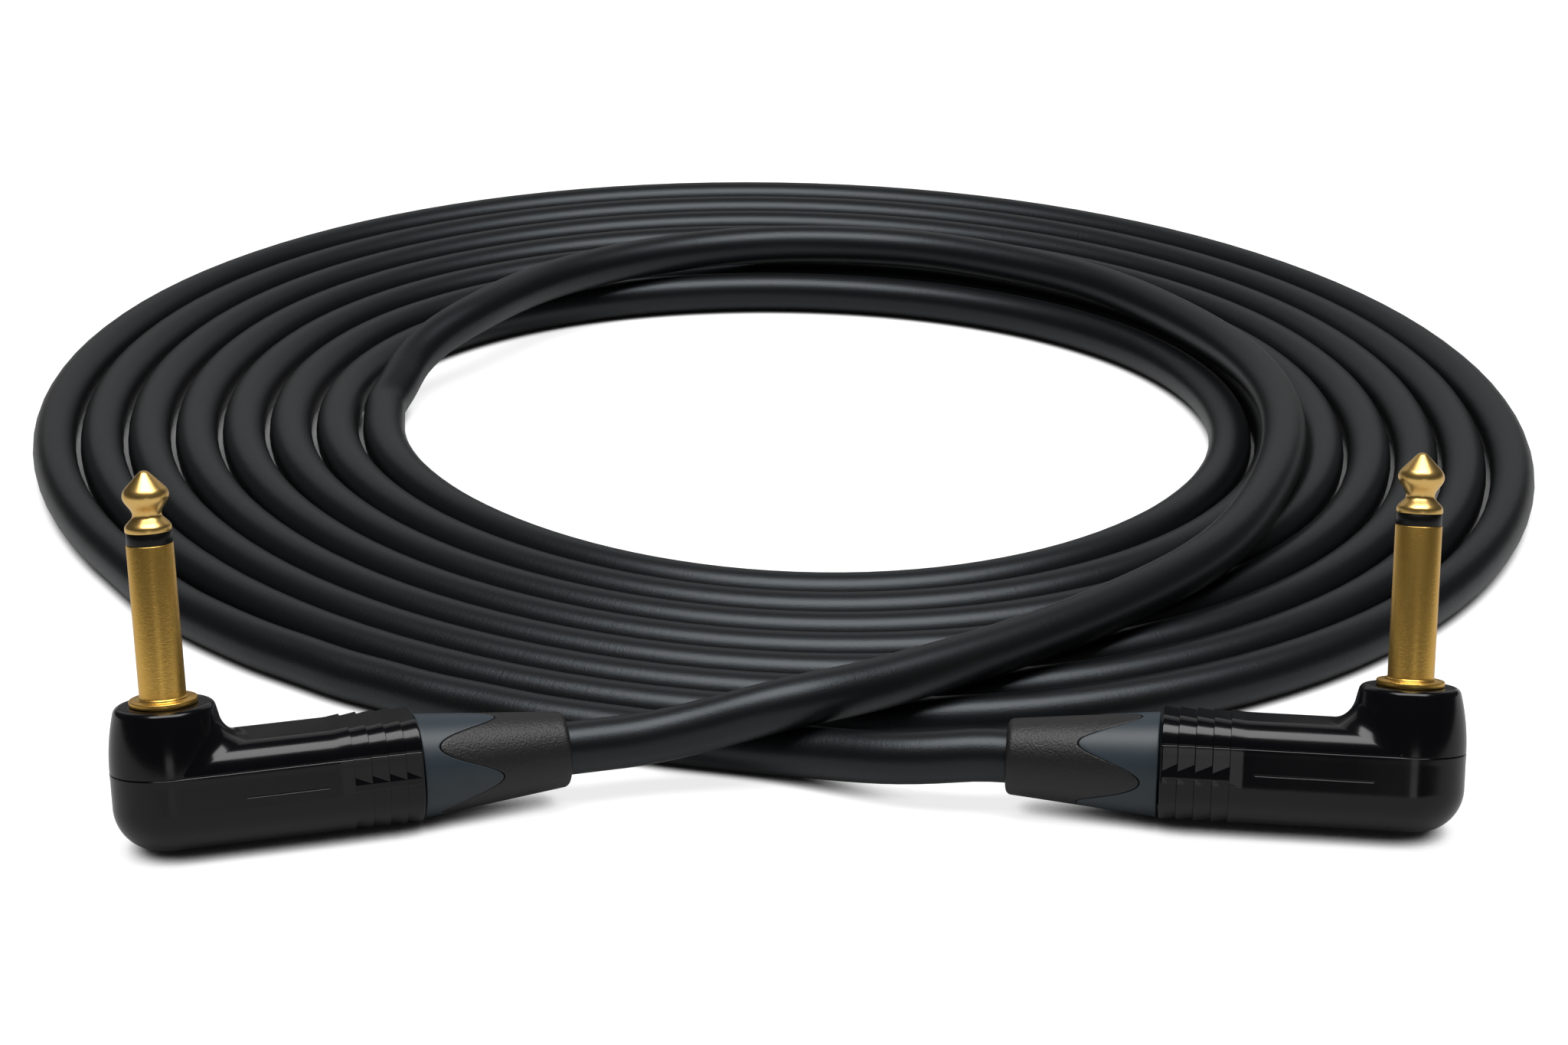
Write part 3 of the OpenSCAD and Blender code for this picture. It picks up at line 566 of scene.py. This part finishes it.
def tipProfile():
    # foot, waist by cos squared and sin squared, shoulder arc, the cone that touches both arcs, nose ball
    p = plug
    z0 = p["sleeve"] + p["ring"]
    f = np.linspace(0, 1, 17)
    waist = p["neckR"] + (p["r"] - 0.02 - p["neckR"]) * np.cos(f * np.pi / 2) ** 2
    head = p["neckR"] + (p["headR"] - p["neckR"]) * np.sin(f * np.pi / 2) ** 2
    shoulder = np.array([p["headR"] - p["shoulderR"], p["headH"]])
    nose = np.array([0, p["nose"] - z0 - p["noseR"]])
    way = nose - shoulder
    cone = math.atan2(way[1], way[0]) - math.acos((p["shoulderR"] - p["noseR"]) / np.linalg.norm(way))
    a, b = np.linspace(0, cone, 13), np.linspace(cone, math.pi / 2, 13)
    r = np.concatenate([[0, p["r"] - 0.1, p["r"] - 0.03, p["r"] - 0.01], waist, head[1:-1],
                        shoulder[0] + p["shoulderR"] * np.cos(a), p["noseR"] * np.cos(b)])
    z = np.concatenate([[0, 0, 0.04, 0.12], p["foot"] + (p["neckH"] - p["foot"]) * f,
                        p["neckH"] + (p["headH"] - p["neckH"]) * f[1:-1],
                        shoulder[1] + p["shoulderR"] * np.sin(a), nose[1] + p["noseR"] * np.sin(b)])
    return r, z0 + z


def addPlug(side, finishes):
    made = []
    for name, node, profile, slot in (("PlugSleeve", "_plug_sleeve", sleeveProfile(), "gold_sleeve"),
                                      ("RingInsulator", "_ring_insulator", ringProfile(), "ring_black"),
                                      ("PlugTip", "_plug_tip", tipProfile(), "gold_tip")):
        rings = revolved(*profile, plug["steps"])
        # the mark is (height, r cos t, r sin t), so the turning marks run round the plug
        piece = addMesh(side + name, [(place(side, rings), True, False)], rings[..., [2, 0, 1]] / 1000)
        piece.data.materials.append(finishes[slot])
        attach(piece, "cable_assembly")
        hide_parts(side + node)
        made.append(piece)
    return made


# Materials

def effectGroup(name, fine, coarse):
    # an empty group with its sockets: Fine and Coarse are noise scales, Height feeds a bump, Tone a colour
    group = bpy.data.node_groups.new(name, "ShaderNodeTree")
    for socket, default in (("Fine", fine), ("Coarse", coarse)):
        entry = group.interface.new_socket(socket, in_out="INPUT", socket_type="NodeSocketFloat")
        entry.default_value = default
    for socket in ("Height", "Tone"):
        group.interface.new_socket(socket, in_out="OUTPUT", socket_type="NodeSocketFloat")
    return group, group.nodes.new("NodeGroupInput"), group.nodes.new("NodeGroupOutput")


def grainGroup():
    # two noises in object space: Height for the grain, Tone for a faint unevenness
    group, enter, leave = effectGroup("grain", 4000.0, 300.0)
    nodes, links = group.nodes, group.links
    where = nodes.new("ShaderNodeTexCoord")
    for source, target, detail in (("Fine", "Height", 3.0), ("Coarse", "Tone", 4.0)):
        noise = nodes.new("ShaderNodeTexNoise")
        noise.inputs["Detail"].default_value = detail
        links.new(where.outputs["Object"], noise.inputs["Vector"])
        links.new(enter.outputs[source], noise.inputs["Scale"])
        links.new(noise.outputs["Fac"], leave.inputs[target])
    return group


def woundGroup():
    # rings round a cable or a turned piece: a noise short along it and long round it, with a grain on top
    group, enter, leave = effectGroup("wound", 1900.0, 3400.0)
    nodes, links = group.nodes, group.links
    where = nodes.new("ShaderNodeAttribute")
    where.attribute_name = "along"
    parts = []
    for stretch, scale in ((0.12, "Fine"), (1.0, "Coarse")):
        squeeze, noise = nodes.new("ShaderNodeVectorMath"), nodes.new("ShaderNodeTexNoise")
        squeeze.operation = "MULTIPLY"
        squeeze.inputs[1].default_value = (1, stretch, stretch)
        noise.inputs["Detail"].default_value = 2.0
        links.new(enter.outputs[scale], noise.inputs["Scale"])
        links.new(where.outputs["Vector"], squeeze.inputs[0])
        links.new(squeeze.outputs[0], noise.inputs["Vector"])
        parts.append(noise.outputs["Fac"])
    total = nodes.new("ShaderNodeMath")
    total.operation = "ADD"
    links.new(parts[0], total.inputs[0])
    links.new(parts[1], total.inputs[1])
    links.new(total.outputs[0], leave.inputs["Height"])
    links.new(parts[0], leave.inputs["Tone"])
    return group


grain, wound = grainGroup(), woundGroup()


def finishOf(name, color, rough, metallic=0.0, ior=1.5, bump=0.0, fine=4000.0, coarse=300.0,
             toneRange=0.0, roughRange=0.0, tint=None, effectOf=None):
    # the bump is in millimetres; the ranges vary tone and roughness with the effect's Tone
    material = bpy.data.materials.new(name)
    material.use_nodes = True
    nodes, links = material.node_tree.nodes, material.node_tree.links
    shader = nodes["Principled BSDF"]
    shader.inputs["Base Color"].default_value = (*color, 1)
    shader.inputs["Roughness"].default_value = rough
    shader.inputs["Metallic"].default_value = metallic
    shader.inputs["IOR"].default_value = ior
    if tint:
        shader.inputs["Specular Tint"].default_value = (*tint, 1)
    if bump or toneRange or roughRange:
        effect = nodes.new("ShaderNodeGroup")
        effect.node_tree = effectOf or grain
        effect.inputs["Fine"].default_value = fine
        effect.inputs["Coarse"].default_value = coarse
    if bump:
        relief = nodes.new("ShaderNodeBump")
        relief.inputs["Strength"].default_value = 1.0
        relief.inputs["Distance"].default_value = bump / 1000
        links.new(effect.outputs["Height"], relief.inputs["Height"])
        links.new(relief.outputs["Normal"], shader.inputs["Normal"])
    if roughRange:
        spread = nodes.new("ShaderNodeMapRange")
        spread.inputs["From Min"].default_value = 0.3
        spread.inputs["From Max"].default_value = 0.7
        spread.inputs["To Min"].default_value = rough - roughRange
        spread.inputs["To Max"].default_value = rough + roughRange
        links.new(effect.outputs["Tone"], spread.inputs["Value"])
        links.new(spread.outputs["Result"], shader.inputs["Roughness"])
    if toneRange:
        mix = nodes.new("ShaderNodeMix")
        mix.data_type = "RGBA"
        mix.inputs["A"].default_value = (*[c * (1 - toneRange) for c in color], 1)
        mix.inputs["B"].default_value = (*[c * (1 + toneRange) for c in color], 1)
        links.new(effect.outputs["Tone"], mix.inputs["Factor"])
        links.new(mix.outputs["Result"], shader.inputs["Base Color"])
    return material


finishes = {
    "shell": finishOf("shell", (0.0025, 0.0025, 0.0035), 0.17, ior=1.4, bump=0.003, fine=1500, coarse=120,
                      roughRange=0.02),
    "collar": finishOf("collar", (0.028, 0.041, 0.052), 0.45, bump=0.006, fine=3000, toneRange=0.1),
    "boot": finishOf("boot", (0.012, 0.0105, 0.0105), 0.46, bump=0.09, fine=3300, toneRange=0.15),
    "jacket": finishOf("jacket", (0.0035, 0.0037, 0.0042), 0.38, bump=0.02, fine=1900, coarse=3400,
                       toneRange=0.15, tint=(0.85, 0.93, 1), effectOf=wound),
    "gold_sleeve": finishOf("goldSleeve", (0.88, 0.54, 0.13), 0.36, metallic=1.0, bump=0.02, fine=9000,
                            coarse=3000, effectOf=wound),
    "gold_tip": finishOf("goldTip", (0.92, 0.6, 0.2), 0.32, metallic=1.0),
    "ring_black": finishOf("ringBlack", (0.003, 0.003, 0.003), 0.35, ior=1.35),
    "insulator": finishOf("insulator", (0.7, 0.69, 0.64), 0.4),
    "nut": finishOf("nut", (0.6, 0.58, 0.5), 0.25, metallic=1.0),
    "lug": finishOf("lug", (0.7, 0.62, 0.4), 0.3, metallic=1.0),
    "chuck": finishOf("chuck", (0.015, 0.015, 0.017), 0.45),
    "core": finishOf("core", (0.5, 0.05, 0.03), 0.4),
    "braid": finishOf("braid", (0.6, 0.4, 0.2), 0.35, metallic=1.0, bump=0.03, fine=2000),
}
cablePiece.data.materials.append(finishes["jacket"])

for side in ends:
    addShells(side, finishes["shell"]) + addGland(side, finishes) + addPlug(side, finishes)

# The pieces inside the housings keep their own meshes and only get their finish

inner = {"rod_insulator": "insulator", "lock_nut": "nut", "ground_lug": "lug", "tip_lug": "lug",
         "chuck": "chuck", "core": "core", "shield_tail": "braid"}
for side in ends:
    for node, slot in inner.items():
        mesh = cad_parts[side + "_" + node].data
        mesh.materials.clear()
        mesh.materials.append(finishes[slot])


# Floor, lamps and world, in metres, degrees and watts

# near, dark and clear set the painted contact shadow in the floor's glow: the occlusion distance, then the
# occlusion values where the glow is gone and where it is full
ground = {"half": 4, "grey": 0.45, "near": 0.0045, "dark": 0.2, "clear": 0.5, "shares": (0.8, 0, 0.15)}
lamps = {
    "top": {"center": (0.06, -0.07, 0), "elevation": 90, "azimuth": 0, "distance": 1.3,
            "width": 1.3, "height": 0.75, "power": 19},
    "back": {"center": (0, 0.12, 0), "elevation": 27, "azimuth": 180, "distance": 1.4,
             "width": 2.0, "height": 0.9, "power": 1.9},
    "front": {"center": (0, 0, 0), "elevation": 5, "azimuth": 9, "distance": 1.3,
              "width": 0.3, "height": 0.22, "power": 0.26},
}
worldShares = (1, 0.12, 0.05)


def rayShares(tree, camera, diffuse, glossy):
    # a strength for each kind of ray, added up: camera, diffuse, glossy and transmission
    path, total = tree.nodes.new("ShaderNodeLightPath"), None
    shares = {"Camera": camera, "Diffuse": diffuse, "Glossy": glossy, "Transmission": glossy}
    for kind, share in shares.items():
        part = tree.nodes.new("ShaderNodeMath")
        part.operation = "MULTIPLY_ADD"
        part.inputs[1].default_value = share
        part.inputs[2].default_value = 0
        tree.links.new(path.outputs["Is " + kind + " Ray"], part.inputs[0])
        if total:
            tree.links.new(total, part.inputs[2])
        total = part.outputs[0]
    return total


def addFloor():
    mesh, h = bpy.data.meshes.new("floor"), ground["half"]
    mesh.from_pydata([(-h, -h, 0), (h, -h, 0), (h, h, 0), (-h, h, 0)], [], [(0, 1, 2, 3)])
    floor = bpy.data.objects.new("floor", mesh)
    bpy.context.scene.collection.objects.link(floor)
    material = bpy.data.materials.new("floor")
    material.use_nodes = True
    nodes, links = material.node_tree.nodes, material.node_tree.links
    nodes.clear()
    leave, add = nodes.new("ShaderNodeOutputMaterial"), nodes.new("ShaderNodeAddShader")
    diffuse, glow = nodes.new("ShaderNodeBsdfDiffuse"), nodes.new("ShaderNodeEmission")
    diffuse.inputs["Color"].default_value = (*[ground["grey"]] * 3, 1)
    # painted shade: an ambient occlusion factor takes the glow away in the gaps between strands, and paints a
    # contact shadow where the object closes in on the floor
    clear, paintedShadow = nodes.new("ShaderNodeAmbientOcclusion"), nodes.new("ShaderNodeMapRange")
    shadedGlow = nodes.new("ShaderNodeMath")
    clear.inputs["Distance"].default_value = ground["near"]
    paintedShadow.inputs["From Min"].default_value = ground["dark"]
    paintedShadow.inputs["From Max"].default_value = ground["clear"]
    shadedGlow.operation = "MULTIPLY"
    links.new(clear.outputs["AO"], paintedShadow.inputs["Value"])
    links.new(rayShares(material.node_tree, *ground["shares"]), shadedGlow.inputs[0])
    links.new(paintedShadow.outputs["Result"], shadedGlow.inputs[1])
    links.new(shadedGlow.outputs[0], glow.inputs["Strength"])
    links.new(diffuse.outputs[0], add.inputs[0])
    links.new(glow.outputs[0], add.inputs[1])
    links.new(add.outputs[0], leave.inputs["Surface"])
    mesh.materials.append(material)


def addLamp(name, center, elevation, azimuth, distance, width, height, power):
    # the lamp faces center from that direction; azimuth 0 is the camera's side
    e, a = math.radians(elevation), math.radians(azimuth)
    way = np.array([math.sin(a) * math.cos(e), -math.cos(a) * math.cos(e), math.sin(e)])
    data = bpy.data.lights.new(name, "AREA")
    data.shape, data.size, data.size_y, data.energy = "RECTANGLE", width, height, power
    lamp = bpy.data.objects.new(name, data)
    lamp.visible_camera = False
    lamp.location = np.array(center) + distance * way
    lamp.rotation_euler = (math.pi / 2 - e, 0, a)
    bpy.context.scene.collection.objects.link(lamp)


addFloor()
for name, values in lamps.items():
    addLamp(name, **values)

world = bpy.data.worlds.new("world")
bpy.context.scene.world = world
world.use_nodes = True
sky = world.node_tree.nodes["Background"]
world.node_tree.links.new(rayShares(world.node_tree, *worldShares), sky.inputs["Strength"])
sky.inputs["Color"].default_value = (1, 1, 1, 1)

bpy.context.scene.view_settings.view_transform = "Standard"
print("stage set")
